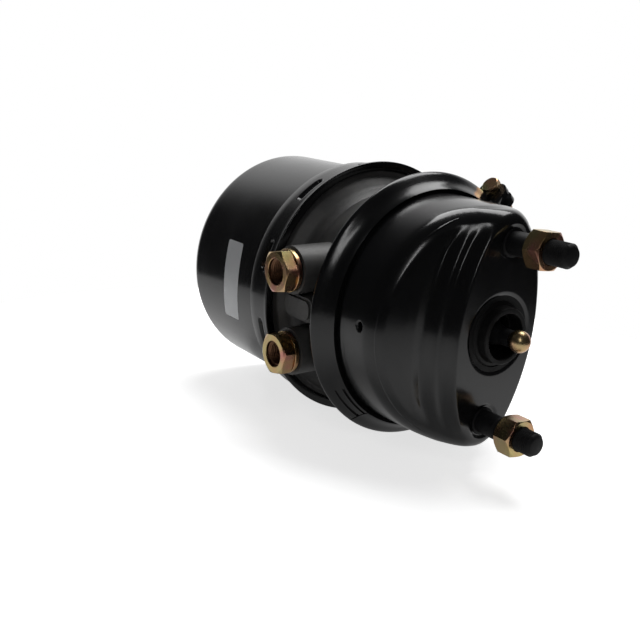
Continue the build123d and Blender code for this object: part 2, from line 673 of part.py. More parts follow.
def power_spring():
    """Conical power spring, caged between the pot and the piston."""
    start = REAR_X + POT_WALL + 1.5 + POWER_WIRE_R
    end = PISTON_WEB_X - PISTON_WALL - POWER_WIRE_R
    big = DISH_R + 13.5 + POWER_WIRE_R
    small = 34.0
    length = end - start
    cone = -math.degrees(math.atan((big - small) / length))
    coil = Helix(length / 4.25, length, big, center=(start, 0, 0), direction=(1, 0, 0), cone_angle=cone)
    return sweep(Plane(origin=coil @ 0, z_dir=coil % 0) * Circle(POWER_WIRE_R), coil, is_frenet=True)


def spring_piston():
    """Cup-shaped piston: a grooved rim in the pot's bore and a deep cup round the spring."""
    rim = POT_BORE_R - 1.0
    wall = PISTON_WALL
    front = PISTON_WEB_X
    rim_front = RIM_BACK + PISTON_RIM_L
    return lathe(
        [(RIM_BACK, CUP_PISTON_R + 9), (RIM_BACK, rim), (RIM_BACK + 2.4, rim), (RIM_BACK + 2.4, rim - 4),
         (RIM_BACK + 6.4, rim - 4), (RIM_BACK + 6.4, rim), (RIM_BACK + 8.6, rim), (RIM_BACK + 8.6, rim - 4.4),
         (RIM_BACK + 13.6, rim - 4.4), (RIM_BACK + 13.6, rim), (rim_front, rim), (rim_front, CUP_PISTON_R),
         (front, CUP_PISTON_R), (front, BOLT_R + 1.2), (front - wall, BOLT_R + 1.2),
         (front - wall, CUP_PISTON_R - wall), (rim_front - wall, CUP_PISTON_R - wall), (rim_front - wall, CUP_PISTON_R + 9)],
        [(front, CUP_PISTON_R, 8.0), (front - wall, CUP_PISTON_R - wall, 5.0), (rim_front, CUP_PISTON_R, 3.0)])


def piston_seal():
    """Lip seal of the piston."""
    rim = POT_BORE_R - 1.0
    return ring(RIM_BACK + 8.65, RIM_BACK + 13.55, rim - 4.35, POT_BORE_R - RUN_FIT)


def piston_guide_ring():
    """Plastic guide ring of the piston."""
    rim = POT_BORE_R - 1.0
    return ring(RIM_BACK + 2.45, RIM_BACK + 6.35, rim - 3.95, POT_BORE_R - RUN_FIT)


def push_tube():
    """Tube from the piston's web through the hub."""
    return lathe([(PISTON_WEB_X, TUBE_BORE_R), (PISTON_WEB_X, TUBE_R + 6), (PISTON_WEB_X + 3, TUBE_R + 6),
                  (PISTON_WEB_X + 6, TUBE_R), (WEB_FRONT - 3.5, TUBE_R), (WEB_FRONT - 3.5, TUBE_BORE_R)])


def thrust_pad():
    """Plug in the front end of the push tube that bears on the diaphragm."""
    return lathe([(WEB_FRONT - 11, 0), (WEB_FRONT - 11, TUBE_BORE_R - 0.05), (WEB_FRONT - 3.5, TUBE_BORE_R - 0.05),
                  (WEB_FRONT - 3.5, TUBE_R - 0.1), (WEB_FRONT, TUBE_R - 0.1), (WEB_FRONT, 0)],
                 [(WEB_FRONT, TUBE_R - 0.1, 2.0)])


def release_bolt():
    """Long bolt that cages the spring when it is screwed out."""
    shank = lathe([(BOLT_SEAT, 0), (BOLT_SEAT, BOLT_R), (BOLT_END - 1.5, BOLT_R), (BOLT_END, BOLT_R - 1.5), (BOLT_END, 0)])
    head = along((BOLT_SEAT - BOLT_HEAD_H, 0, 0), (1, 0, 0), (0, 1, 0)) * hexagon(BOLT_AF, BOLT_HEAD_H)
    return shank + head


def release_bolt_collar():
    """Ring pinned on the bolt's end, which pulls on the piston's web."""
    return ring(BOLT_END - 9, BOLT_END - 3, BOLT_R + PRESS_GAP, TUBE_BORE_R - 0.4)


def push_plate():
    """Dished plate that the diaphragm pushes."""
    return lathe(
        [(PLATE_BACK, 0), (PLATE_BACK, PLATE_R - 6), (PLATE_BACK + 3, PLATE_R), (PLATE_FRONT + 3, PLATE_R),
         (PLATE_FRONT, PLATE_R - 6), (PLATE_FRONT, 0)],
        [(PLATE_BACK, PLATE_R - 6, 4.0), (PLATE_FRONT, PLATE_R - 6, 6.0)])


def push_rod():
    """Rod from the push plate, necked down to a cup that holds the ball."""
    rim = BALL_X - 5.1
    pin = BALL_X - BALL_PIN_LEN
    rod = lathe([(PLATE_FRONT, 0), (PLATE_FRONT, ROD_R + 5), (PLATE_FRONT + 0.8, ROD_R + 5), (PLATE_FRONT + 0.8, ROD_R),
                 (-4, ROD_R), (4, ROD_NECK_R), (rim, ROD_NECK_R), (rim, BALL_PIN_R + 0.05), (pin, BALL_PIN_R + 0.05), (pin, 0)])
    return rod - Pos(BALL_X, 0, 0) * Sphere(BALL_R + PRESS_GAP)


def ball_end():
    """Polished ball on a pin pressed into the rod."""
    ball = Pos(BALL_X, 0, 0) * Sphere(BALL_R)
    return ball + disc(BALL_X - BALL_PIN_LEN, BALL_X - BALL_R / 2, BALL_PIN_R)


def return_spring():
    """Conical spring that brings the push plate back."""
    start = PLATE_FRONT + RETURN_WIRE_R
    end = BRACE_BACK - RETURN_WIRE_R
    big = PLATE_R - 8.5
    small = (BRACE_HOLE_R + BRACE_EYE_R) / 2
    length = end - start
    cone = -math.degrees(math.atan((big - small) / length))
    coil = Helix(length / 4.25, length, big, center=(start, 0, 0), direction=(1, 0, 0), cone_angle=cone)
    return sweep(Plane(origin=coil @ 0, z_dir=coil % 0) * Circle(RETURN_WIRE_R), coil, is_frenet=True)


def write(name, shape):
    """One file per piece, or per group of like pieces."""
    if isinstance(shape, list):
        shape = Compound(children=[s for s in shape])
    export_step(shape, f"parts/{name}.step")


PIECES = [
    spring_pot, release_bush, rear_spring_seat, adapter_body, adapter_o_ring, push_tube_bush, push_tube_seals,
    port_seals, clamp_half_a, clamp_half_b, clamp_bolt, clamp_nut, front_housing, stud_brace, mounting_studs,
    stud_nuts, face_seal, pushrod_boot, service_diaphragm, return_spring, power_spring, push_plate,
    push_rod, ball_end, boot_clip, spring_piston, piston_seal, piston_guide_ring, push_tube, thrust_pad,
    release_bolt, release_bolt_collar]

os.makedirs("parts", exist_ok=True)
for piece in PIECES:
    write(piece.__name__, piece())
for name, place in zip(("service_port_fitting", "spring_port_fitting"), port_places()):
    write(name, port_fitting(place))
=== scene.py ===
"""Spring brake chamber for a disc brake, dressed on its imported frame: paint, casting, plating and rubber."""

import math

import bmesh
import bpy
import numpy as np
from mathutils import Matrix, Vector


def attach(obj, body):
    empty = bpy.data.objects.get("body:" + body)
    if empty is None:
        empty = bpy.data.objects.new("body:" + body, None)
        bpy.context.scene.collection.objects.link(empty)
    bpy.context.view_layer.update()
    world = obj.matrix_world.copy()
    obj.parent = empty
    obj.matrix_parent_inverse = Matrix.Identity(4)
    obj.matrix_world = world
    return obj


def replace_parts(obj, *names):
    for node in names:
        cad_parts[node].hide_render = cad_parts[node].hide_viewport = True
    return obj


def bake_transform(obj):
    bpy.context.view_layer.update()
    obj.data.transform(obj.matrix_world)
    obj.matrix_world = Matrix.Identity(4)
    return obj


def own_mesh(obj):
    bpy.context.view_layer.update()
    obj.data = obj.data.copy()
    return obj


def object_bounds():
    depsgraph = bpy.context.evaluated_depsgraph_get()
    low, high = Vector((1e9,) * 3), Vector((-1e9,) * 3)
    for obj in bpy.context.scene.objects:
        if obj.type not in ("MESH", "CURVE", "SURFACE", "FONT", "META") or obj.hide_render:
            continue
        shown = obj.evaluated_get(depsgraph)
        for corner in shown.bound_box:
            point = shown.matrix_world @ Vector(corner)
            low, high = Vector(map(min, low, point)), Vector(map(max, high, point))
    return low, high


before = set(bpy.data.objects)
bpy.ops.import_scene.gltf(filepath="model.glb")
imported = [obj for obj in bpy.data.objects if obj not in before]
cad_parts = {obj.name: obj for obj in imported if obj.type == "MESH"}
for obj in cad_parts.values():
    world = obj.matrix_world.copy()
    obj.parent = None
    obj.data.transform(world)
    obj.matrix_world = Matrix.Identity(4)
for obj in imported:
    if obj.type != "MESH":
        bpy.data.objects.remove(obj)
box_cad = [list(corner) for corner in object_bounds()]

# Studio: a white table just under the chamber, a white backdrop low behind it, a bright ceiling panel, a thin
# strip at the side and a dark room on the camera's side, as a black painted part needs to show its form. The
# camera sees white.
FOCAL_PIXELS, PICTURE_PIXELS, SENSOR = 860.0, 640.0, 36.0
CAMERA_PLACE = (0.36576, -0.42417, 0.12021)
CAMERA_RIGHT = (0.5771256, 0.8073560, 0.1228915)
CAMERA_DOWN = (0.2530539, -0.0337205, -0.9668643)
CAMERA_FORWARD = (-0.7764597, 0.5891004, -0.2237655)
ROOM_COLOUR = (0.03, 0.03, 0.0318, 1)
WHITE = (1, 1, 1, 1)
BACKDROP_SIDE, BACKDROP_TOP = (0.48, 0.72), (0.88, 0.52)
TABLE_PLACE, TABLE_R, TABLE_GAP, TABLE_SIDES = (-0.06, 0.07), 0.5, 0.0005, 96
TABLE_COLOUR = (0.86, 0.86, 0.86, 1)
TABLE_GLOW = (0.45 * TABLE_R, 0.85 * TABLE_R, 0.70, 1.0)
TABLE_SHINE = (0.3 * TABLE_R, TABLE_R, 0.36, 0.0)

camera = bpy.data.objects.new("camera", bpy.data.cameras.new("camera"))
camera.data.sensor_width = SENSOR
camera.data.lens = SENSOR * FOCAL_PIXELS / PICTURE_PIXELS
right, down, forward = Vector(CAMERA_RIGHT), Vector(CAMERA_DOWN), Vector(CAMERA_FORWARD)
turned = Matrix((right, -down, -forward)).transposed().to_4x4()
camera.matrix_world = Matrix.Translation(CAMERA_PLACE) @ turned
bpy.context.collection.objects.link(camera)
bpy.context.scene.camera = camera
bpy.context.scene.view_settings.view_transform = "Standard"


class Nodes:
    """A node tree in short: adds a node with its values and links, and sets or joins its sockets."""

    def __init__(self, tree):
        self.tree = tree
        tree.nodes.clear()

    def add(self, kind, settings=None, **sockets):
        """New node with its settings, values and links. An underscore is a blank in a socket's name."""
        node = self.tree.nodes.new("ShaderNode" + kind)
        for key, value in (settings or {}).items():
            setattr(node, key, value)
        for key, value in sockets.items():
            self.put(node, key.replace("_", " "), value)
        return node

    def put(self, node, key, value):
        """Link a socket, or set its value. The socket is told by its name or its number."""
        named = [s for s in node.inputs if s.name == key and s.enabled]
        socket = named[0] if named else node.inputs[int(key)]
        if isinstance(value, bpy.types.NodeSocket):
            self.tree.links.new(value, socket)
        else:
            socket.default_value = value

    def pair(self, kind, operation, first, second):
        """Node that works out one value or shader from two."""
        node = self.add(kind, {"operation": operation} if operation else None)
        self.put(node, "0", first)
        self.put(node, "1", second)
        return node

    def ranged(self, value, start, end, low=0.0, high=1.0, way="SMOOTHSTEP"):
        """A value that runs from start to end, turned into one from low to high."""
        node = self.add("MapRange", {"interpolation_type": way}, Value=value)
        for key, limit in (("From Min", start), ("From Max", end), ("To Min", low), ("To Max", high)):
            node.inputs[key].default_value = limit
        return node.outputs["Result"]

    def mixed(self, share, first, second):
        """The first shader, and the second by a share."""
        node = self.add("MixShader", Fac=share)
        self.put(node, "1", first)
        self.put(node, "2", second)
        return node.outputs[0]


def world_light(behind):
    """Light from far off by its direction: a white backdrop low on the far side, a dark room elsewhere."""
    world = bpy.data.worlds.new("studio")
    world.use_nodes = True
    bpy.context.scene.world = world
    tree = Nodes(world.node_tree)
    way = tree.add("TexCoord").outputs["Generated"]
    across = tree.ranged(tree.pair("VectorMath", "DOT_PRODUCT", way, behind).outputs["Value"], *BACKDROP_SIDE)
    low = tree.ranged(tree.add("SeparateXYZ", Vector=way).outputs["Z"], *BACKDROP_TOP)
    lit = tree.pair("Math", "MULTIPLY", across, low).outputs[0]
    seen = tree.pair("Math", "MAXIMUM", tree.add("LightPath").outputs["Is Camera Ray"], lit).outputs[0]
    dark = tree.add("Background", Color=ROOM_COLOUR, Strength=1.0).outputs[0]
    white = tree.add("Background", Color=WHITE, Strength=1.0).outputs[0]
    tree.add("OutputWorld", Surface=tree.mixed(seen, dark, white))


def panel(name, place, aim, size, power):
    """Soft rectangular lamp at a place, turned to a point."""
    lamp = bpy.data.lights.new(name, "AREA")
    lamp.shape = "RECTANGLE"
    lamp.size, lamp.size_y = size
    lamp.energy = power
    thing = bpy.data.objects.new(name, lamp)
    thing.location = place
    thing.rotation_mode = "QUATERNION"
    thing.rotation_quaternion = (Vector(aim) - Vector(place)).to_track_quat("-Z", "Y")
    bpy.context.collection.objects.link(thing)


def material_tree(name):
    """New material with an empty node tree."""
    material = bpy.data.materials.new(name)
    material.use_nodes = True
    return material, Nodes(material.node_tree)


def white_table(centre):
    """Round white table. The camera sees it glow, wholly white towards its edge. Reflections see that glow by
    a share that fades to the edge, and the rest of the light falls on plain matt white."""
    mesh = bpy.data.meshes.new("floor")
    turn = np.linspace(0, 2 * np.pi, TABLE_SIDES, endpoint=False)
    ring = np.stack([np.cos(turn), np.sin(turn), 0 * turn], 1) * TABLE_R + centre
    mesh.from_pydata(ring.tolist(), [], [list(range(TABLE_SIDES))])
    thing = bpy.data.objects.new("floor", mesh)
    bpy.context.collection.objects.link(thing)
    material, tree = material_tree("floor_white")
    here = tree.add("TexCoord").outputs["Object"]
    away = tree.pair("VectorMath", "DISTANCE", here, centre).outputs["Value"]
    matt = tree.add("BsdfDiffuse", Color=TABLE_COLOUR).outputs[0]
    glow = tree.add("Emission", Color=WHITE, Strength=tree.ranged(away, *TABLE_GLOW)).outputs[0]
    rays = tree.add("LightPath")
    near = tree.ranged(away, *TABLE_SHINE)
    shine = tree.pair("Math", "MULTIPLY", rays.outputs["Is Glossy Ray"], near).outputs[0]
    seen = tree.pair("Math", "MAXIMUM", rays.outputs["Is Camera Ray"], shine).outputs[0]
    both = tree.pair("AddShader", None, matt, glow).outputs[0]
    tree.add("OutputMaterial", Surface=tree.mixed(seen, matt, both))
    mesh.materials.append(material)


world_light(Vector((CAMERA_FORWARD[0], CAMERA_FORWARD[1], 0)).normalized())
white_table((*TABLE_PLACE, box_cad[0][2] - TABLE_GAP))
panel("ceiling_panel", place=(-0.35, 0.35, 1.2), aim=(-0.1, 0, 0), size=(1.1, 0.7), power=14)
panel("side_strip", place=(1.1, -1.0, 0.9), aim=(-0.05, 0, 0), size=(0.12, 0.9), power=3)

# Release bush, welded into the back of the pot: steel under the pot's stoved gloss black. The paint has a
# faint orange peel, and its gloss is a little uneven.
BLACK, WORN_BLACK = (0.0042, 0.0044, 0.0048, 1), (0.0062, 0.0064, 0.0068, 1)
NOISE_RANGE = (0.3, 0.7)


def grain(tree, scale, detail, stretch=(1, 1, 1)):
    """Noise on the object's own coordinates, with features about a thousand over scale in millimetres."""
    where = tree.add("TexCoord").outputs["Object"]
    placed = tree.add("Mapping", Vector=where, Scale=stretch).outputs["Vector"]
    return tree.add("TexNoise", Vector=placed, Scale=scale, Detail=detail).outputs["Fac"]


def between(tree, factor, low, high):
    """Colour mixed from low to high by a factor."""
    return tree.add("Mix", {"data_type": "RGBA"}, Factor=factor, A=low, B=high).outputs[2]


def spread(tree, noise, low, high):
    """Noise in its usual range, spread over another."""
    return tree.ranged(noise, *NOISE_RANGE, low, high, "LINEAR")


def raised(tree, height, strength, distance):
    """Bump from a height factor."""
    return tree.add("Bump", Height=height, Strength=strength, Distance=distance).outputs["Normal"]


def surface(material, tree, **sockets):
    """Close a material's tree with one shader that has these values and links."""
    shader = tree.add("BsdfPrincipled", **sockets)
    tree.add("OutputMaterial", Surface=shader.outputs[0])
    return material


def paint_black():
    """Gloss black stoving paint: dark base, uneven gloss and orange peel 2 mm across."""
    material, tree = material_tree("stoved_black")
    cloud = grain(tree, 30, 3)
    return surface(material, tree, Roughness=spread(tree, cloud, 0.15, 0.21),
                   Base_Color=between(tree, spread(tree, cloud, 0, 1), BLACK, WORN_BLACK),
                   Normal=raised(tree, grain(tree, 420, 2), 0.035, 0.0003))


def dress(material, *nodes):
    """A CAD node keeps its shape and takes this finish."""
    for name in nodes:
        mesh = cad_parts[name].data
        mesh.materials.clear()
        mesh.materials.append(material)


stoved_black = paint_black()
dress(stoved_black, "release_bush")

# Adapter between the chambers: pressure die-cast aluminium under a dark grey satin coat, with machined boss
# faces. The coat keeps the fine grain of the casting and is slightly mottled.
CASTING_DARK, CASTING_LIGHT = (0.048, 0.048, 0.048, 1), (0.082, 0.080, 0.077, 1)


def coated_casting():
    """Satin dark grey coat on a cast skin: a fine grain and a soft mottle."""
    material, tree = material_tree("coated_casting")
    cloud, skin = grain(tree, 55, 4), grain(tree, 900, 3)
    return surface(material, tree, Roughness=spread(tree, skin, 0.42, 0.56), Metallic=0.25,
                   Base_Color=between(tree, spread(tree, cloud, 0, 1), CASTING_DARK, CASTING_LIGHT),
                   Normal=raised(tree, skin, 0.12, 0.0003))


dress(coated_casting(), "adapter_body")

# Clamp: two pressed steel halves in the same black paint, drawn together by a yellow zinc plated bolt. Each
# half has a broad rounded crown and flanks that are pressed slightly hollow.
MM = 0.001
BAND_X, BAND_R, BAND_FLAT, BAND_HALF = -77.0, 96.3, 2.0, 13.3
BAND_ROUND, BAND_HOLLOW, BAND_GROOVE, BAND_SKIN, BAND_RING, BAND_PAST = 3.0, 1.3, 2.4, 0.5, 0.73, 0.1
GOLD, PINK, GREEN = (0.50, 0.36, 0.145, 1), (0.50, 0.22, 0.17, 1), (0.42, 0.41, 0.19, 1)


def piece(name, mesh, material, body, sharp=35):
    """Object from a mesh, smooth but for edges sharper than an angle. It rides on a body, or on none."""
    mesh.shade_smooth()
    mesh.set_sharp_from_angle(angle=math.radians(sharp))
    mesh.materials.append(material)
    thing = bpy.data.objects.new(name, mesh)
    bpy.context.collection.objects.link(thing)
    if body:
        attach(thing, body)
    return thing


def pressed_band(node):
    """Clamp half cut into narrow rings, with its outside moved, at a half width u, to the radius
    BAND_R - k (hypot(u, BAND_ROUND) - BAND_ROUND) - BAND_HOLLOW sin(pi u / BAND_HALF)^2, where k leaves the
    foot of the flank in its place. The floors of its grooves keep their depth below the outside."""
    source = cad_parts[node]
    shape = bmesh.new()
    shape.from_mesh(source.data)
    shape.transform(source.matrix_world)
    bmesh.ops.remove_doubles(shape, verts=shape.verts, dist=1e-6)
    for cut in np.arange(-BAND_HALF + 0.4, BAND_HALF, BAND_RING):
        everything, place = shape.verts[:] + shape.edges[:] + shape.faces[:], ((BAND_X + cut) * MM, 0, 0)
        bmesh.ops.bisect_plane(shape, geom=everything, plane_co=place, plane_no=(1, 0, 0))
    mesh = bpy.data.meshes.new(node + "_pressed")
    shape.to_mesh(mesh)
    shape.free()
    places = np.empty(len(mesh.vertices) * 3, np.float32)
    mesh.vertices.foreach_get("co", places)
    x, y, z = places.reshape(-1, 3).T.astype(float)
    u, r = np.abs(x / MM - BAND_X), np.hypot(y, z) / MM
    depth = BAND_R - np.clip(u - BAND_FLAT, 0, None) - r
    slope = (BAND_HALF - BAND_FLAT) / (math.hypot(BAND_HALF, BAND_ROUND) - BAND_ROUND)
    hollow = BAND_HOLLOW * np.sin(np.pi * u / BAND_HALF) ** 2
    outside = BAND_R - slope * (np.hypot(u, BAND_ROUND) - BAND_ROUND) - hollow
    moved = (u < BAND_HALF) & (depth > -BAND_PAST) & (depth < BAND_GROOVE)
    scale = np.where(moved, (outside - np.where(depth > BAND_SKIN, depth, 0)) / r, 1)
    mesh.vertices.foreach_set("co", np.stack([x, y * scale, z * scale], -1).ravel())
    mesh.update()
    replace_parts(piece(node + "_pressed", mesh, stoved_black, "housing"), node)


def yellow_zinc():
    """Yellow chromate over zinc: olive gold that drifts to brown-pink and green, satin."""
    material, tree = material_tree("yellow_zinc")
    bloom, drift = grain(tree, 75, 2), grain(tree, 48, 1, (1, 1.6, 0.7))
    warm = between(tree, spread(tree, bloom, -0.1, 1.1), GOLD, PINK)
    return surface(material, tree, Roughness=spread(tree, bloom, 0.22, 0.30), Metallic=1.0,
                   Base_Color=between(tree, spread(tree, drift, -0.5, 0.9), warm, GREEN))


pressed_band("clamp_half_a")
pressed_band("clamp_half_b")
plating = yellow_zinc()
dress(plating, "clamp_bolt", "clamp_nut")

# Front housing: one drawn steel cup, 3 mm thick. Its mounting face is a lens that stands on two ledges a
# side, and the lower ledge runs out to the cup's shoulder. Same black paint. A countersunk drain hole goes
# through its side.
CUP_R, CUP_DRAFT, CUP_NOSE, CUP_WALL, CUP_DEPTH, SIDE_END, DRAFT_END = 82.7, 0.8, 3.2, 3.0, 76.1, -60.0, -18.0
FLANGE_R, FLANGE_WALL, FLANGE_X, CUP_FOOT_X, CUP_FOOT_RISE, BEND_ROUND = 91.6, 3.2, -75.04, -66.64, 0.5, 3.0
LINING_DEPTH, LINING_INSET, LINING_BLEND, LINING_STEP = 1.6, 1.6, 1.0, 2.2
LINING_FOOT_X, LINING_FOOT_R = -67.54, 79.9
FACE_ARC_CENTRE = 105.0
NEAR_LEDGES = ((-40, 0), (36.8, 0), (41.0, -9.6), (45.4, -10.9), (48.6, -19.2), (56, -20.0), (62, -21.8),
               (78, -28.0), (110, -42))
FAR_LEDGES = ((-40, 0), (34.2, 0), (38.2, -9.6), (42.6, -10.9), (45.8, -19.0), (55.5, -19.9), (61.5, -26.0),
              (77.7, -36.2), (110, -56))
MIDDLE_ZONE, SHOULDER_ZONE, SHOULDER_R, EDGE_LEVELS = (-10, 10), (64, 75), 78.0, (-10, 0)
CRISP, SOFT, FACE_EDGE_ROUND, LEDGE_EDGE_ROUND, EDGE_START = 0.75, 4.5, 9.0, 12.0, 0.906
END_REACH, END_STEP, FOOT_STEP, EDGE_ROWS, SIDE_ROWS, AROUND = 60.0, 0.6, 0.85, 18, 16, 432
HOLE_R, SEAT_R, SEAT_FLOOR_R, SEAT_DEPTH, SEAT_BLEND = 20.0, 28.5, 21.5, 2.4, 0.4
STUD_PITCH, DIMPLE_R, DIMPLE_FLOOR_R, DIMPLE_DEPTH = 120.65, 12.8, 10.4, 1.2
DRAIN_R, DRAIN_X, DRAIN_ANGLE, DRAIN_CHAMFER, DRAIN_SIDES = 2.5, -43.0, 182.0, 2.2, 32
DRAIN_INNER, DRAIN_SINK, DRAIN_OUTER = 72.7, 81.4, 83.9
ARC_STEP, NEARLY_STRAIGHT = 0.9, 1.55


def ramp_between(value, low, high):
    """0 at low, 1 at high, eased."""
    t = np.clip((value - low) / (high - low), 0, 1)
    return t * t * (3 - 2 * t)


def lower_of(a, b, width):
    """The lower of two heights, with a soft join as wide as given."""
    near = np.clip(width - np.abs(a - b), 0, None) / width
    return np.minimum(a, b) - near * near * width / 4


def rounded_path(points, rounds, step):
    """Points along a polyline whose corners are arcs of the given radii and whose runs are cut every step."""
    points = [np.array(p, float) for p in points]
    done = [points[0]]
    for i in range(1, len(points) - 1):
        corner, radius = points[i], rounds.get(i, 0)
        a, b = done[-1] - corner, points[i + 1] - corner
        a, b = a / np.linalg.norm(a), b / np.linalg.norm(b)
        half = math.acos(float(np.clip(a @ b, -1, 1))) / 2
        if radius == 0 or half > NEARLY_STRAIGHT:
            done.append(corner)
            continue
        reach = radius / math.tan(half)
        middle = (a + b) / np.linalg.norm(a + b) * radius / math.sin(half) + corner
        start, end = corner + a * reach - middle, corner + b * reach - middle
        sweep = math.pi - 2 * half
        share = np.linspace(0, 1, max(4, int(radius * sweep / ARC_STEP) + 2))[:, None]
        arc = np.sin((1 - share) * sweep) * start + np.sin(share * sweep) * end
        done.extend(middle + arc / math.sin(sweep))
    done.append(points[-1])
    rows = [done[0]]
    for last, point in zip(done, done[1:]):
        count = max(1, int(np.linalg.norm(point - last) / step))
        rows.extend(last + (point - last) * (k + 1) / count for k in range(count))
    return np.array(rows)


def ring_turns(count):
    """Angles of evenly spaced points round a ring."""
    return np.linspace(0, 2 * np.pi, count, endpoint=False)


def round_rows(rows, count):
    """Rows of (distance, radius) as two grids, each row repeated round a ring of so many points."""
    rows = np.array(rows, float)
    return np.repeat(rows[:, :1], count, 1), np.repeat(rows[:, 1:], count, 1)


def about(along, radius, turn, place=(0, 0, 0), axis=(1, 0, 0), across=(0, 1, 0)):
    """Points round an axis, if not told otherwise the push axis:
    place + along * axis + radius * (cos(turn) * across + sin(turn) * the way square to both)."""
    spin = np.cos(turn)[..., None] * np.array(across) + np.sin(turn)[..., None] * np.cross(axis, across)
    return np.array(place) + along[..., None] * np.array(axis) + radius[..., None] * spin


def grid_mesh(name, places, closed_rows=False):
    """Mesh of quads from a grid of points whose columns close into rings. Poles are merged, and faces turned
    outward by the sign of the volume, the sum of each face's corner times its area vector."""
    rows, columns = places.shape[:2]
    number = np.arange(rows * columns).reshape(rows, columns)
    upper, lower = (number, np.roll(number, -1, 0)) if closed_rows else (number[:-1], number[1:])
    faces = np.stack([upper, np.roll(upper, -1, 1), np.roll(lower, -1, 1), lower], -1).reshape(-1, 4)
    a, b, c, d = (places.reshape(-1, 3)[faces[:, k]] for k in range(4))
    if np.sum(a * np.cross(c - a, d - b)) < 0:
        faces = faces[:, ::-1]
    mesh = bpy.data.meshes.new(name)
    mesh.vertices.add(rows * columns)
    mesh.vertices.foreach_set("co", (places * MM).reshape(-1))
    mesh.loops.add(faces.size)
    mesh.loops.foreach_set("vertex_index", faces.reshape(-1).astype(np.int32))
    mesh.polygons.add(len(faces))
    mesh.polygons.foreach_set("loop_start", np.arange(0, faces.size, 4, dtype=np.int32))
    mesh.update(calc_edges=True)
    shape = bmesh.new()
    shape.from_mesh(mesh)
    bmesh.ops.remove_doubles(shape, verts=shape.verts, dist=1e-7)
    shape.to_mesh(mesh)
    shape.free()
    mesh.validate()
    return mesh


def ledge_height(y, z, inset):
    """Height over a point: the ledges' outline, as knots of (distance from the middle, height), read at the
    distance from the face's far arc centre. It is blurred, lightly inside and strongly out at the shoulder,
    where the steps run out."""
    out = np.hypot(np.abs(y) + FACE_ARC_CENTRE, z) - FACE_ARC_CENTRE + inset
    far = ramp_between(y, *MIDDLE_ZONE)
    shifts = np.linspace(-2, 2, 9)
    weights = np.exp(-shifts ** 2 / 2)
    weights /= weights.sum()
    crisp = soft = 0
    for knots, part in ((np.array(NEAR_LEDGES), 1 - far), (np.array(FAR_LEDGES), far)):
        for shift, weight in zip(shifts, weights):
            crisp = crisp + part * weight * np.interp(out + shift * CRISP, knots[:, 0], knots[:, 1])
            soft = soft + part * weight * np.interp(out + shift * SOFT, knots[:, 0], knots[:, 1])
    return crisp + (soft - crisp) * ramp_between(np.hypot(y, z), *SHOULDER_ZONE)


def side_radius(x):
    """Radius of the cup's side at a distance along the push axis."""
    return np.interp(x, [SIDE_END, DRAFT_END, 0], [CUP_R, CUP_R - CUP_DRAFT, CUP_R - CUP_NOSE])


def cup_end(turn):
    """Rows of distances and of radii over the cup's end and down its side: the ledges' height, less an arc
    that falls to the side. The arc starts level at the face and at a slope, softly creased, at the ledges."""
    y, z = np.cos(turn), np.sin(turn)
    edge = ledge_height(SHOULDER_R * y, SHOULDER_R * z, 0)
    edge_round = np.interp(edge, EDGE_LEVELS, [LEDGE_EDGE_ROUND, FACE_EDGE_ROUND])
    start = edge_round * np.interp(edge, EDGE_LEVELS, [EDGE_START, 1])
    rim = side_radius(edge - start)
    gaps = np.concatenate([np.arange(END_REACH, LEDGE_EDGE_ROUND, -END_STEP),
                           LEDGE_EDGE_ROUND * (1 - np.sin(np.linspace(0, np.pi / 2, EDGE_ROWS)))])
    r = np.maximum(rim - gaps[:, None], HOLE_R)
    short = np.clip(edge_round - (rim - r), 0, None)
    fall = np.clip(start - np.sqrt(edge_round ** 2 - short ** 2), 0, None)
    x = ledge_height(r * y, r * z, 0) - fall
    side = x[-1] + (SIDE_END - x[-1]) * np.linspace(0, 1, SIDE_ROWS)[1:, None]
    return np.concatenate([x, side]), np.concatenate([r, side_radius(side)])


def cup_mesh():
    """Closed skin of the cup: down the outside and back up the inside, with the seal's seat and the dimples
    for the studs."""
    turn = ring_turns(AROUND)
    end_x, end_r = cup_end(turn)
    foot = rounded_path([(SIDE_END, CUP_R), (CUP_FOOT_X, CUP_R + CUP_FOOT_RISE), (FLANGE_X, FLANGE_R),
                         (-CUP_DEPTH, FLANGE_R)], {1: BEND_ROUND}, FOOT_STEP)
    inside = rounded_path(
        [(-CUP_DEPTH, FLANGE_R - FLANGE_WALL), (LINING_FOOT_X, LINING_FOOT_R),
         (SIDE_END, CUP_R - CUP_WALL), (DRAFT_END, CUP_R - CUP_DRAFT - CUP_WALL),
         (-CUP_WALL, CUP_R - CUP_NOSE - CUP_WALL), (-CUP_WALL, HOLE_R)],
        {4: FACE_EDGE_ROUND - CUP_WALL}, LINING_STEP)
    foot_x, foot_r = round_rows(foot[1:], AROUND)
    in_x, in_r = round_rows(inside, AROUND)
    under = ledge_height(in_r * np.cos(turn), in_r * np.sin(turn), LINING_INSET) - LINING_DEPTH
    x = np.concatenate([end_x, foot_x, lower_of(in_x, under, LINING_BLEND)])
    r = np.concatenate([end_r, foot_r, in_r])
    x = x - SEAT_DEPTH * ramp_between(r, SEAT_R + SEAT_BLEND, SEAT_FLOOR_R - SEAT_BLEND)
    for height in (STUD_PITCH / 2, -STUD_PITCH / 2):
        near = np.hypot(r * np.cos(turn), r * np.sin(turn) - height)
        x = x - DIMPLE_DEPTH * ramp_between(near, DIMPLE_R, DIMPLE_FLOOR_R)
    return grid_mesh("front_housing_skin", about(x, r, turn), True)


